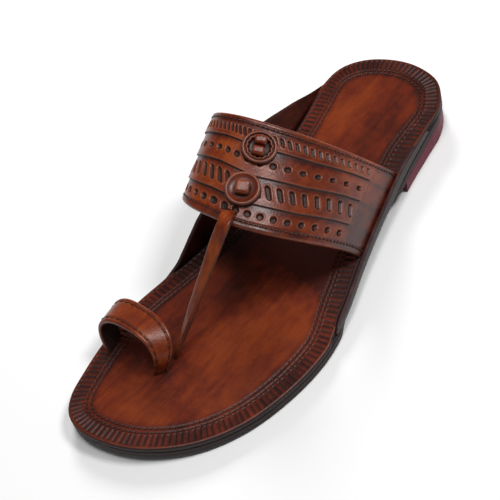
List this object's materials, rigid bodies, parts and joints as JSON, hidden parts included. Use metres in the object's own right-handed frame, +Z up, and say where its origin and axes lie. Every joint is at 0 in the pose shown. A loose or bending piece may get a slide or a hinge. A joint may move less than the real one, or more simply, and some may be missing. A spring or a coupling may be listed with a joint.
{
  "type": "kolhapuri sandal",
  "caption": "Flat leather toe-loop sandal: stitched insole on a low wedge heel, wide instep band with leather rosettes, a T-strap thong and side ears.",
  "frame": {"origin": "on the floor, at the middle of the sandal's bounding box", "axes": "-Y towards the toe, +X towards the outer side of the left foot, +Z up"},
  "size_m": [0.1142, 0.276, 0.0826],
  "materials": {
    "sole_edge": "dark brown sole leather with a dressed edge",
    "heel": "wine red painted heel stack",
    "insole_leather": "polished red-brown leather, embossed border",
    "ear_leather": "waxed brown leather",
    "band_leather": "glossy tan-brown leather",
    "trim_leather": "glossy tan-brown leather"
  },
  "bodies": {
    "root": {"outsole": "sole_edge", "heel_block": "heel", "insole": "insole_leather", "ear_lateral": "ear_leather", "ear_medial": "ear_leather", "upper": "band_leather", "toe_loop": "band_leather", "rosette_rear": "trim_leather", "rosette_front": "trim_leather", "knot_rear": "trim_leather", "knot_front": "trim_leather"}
  },
  "joints": []
}
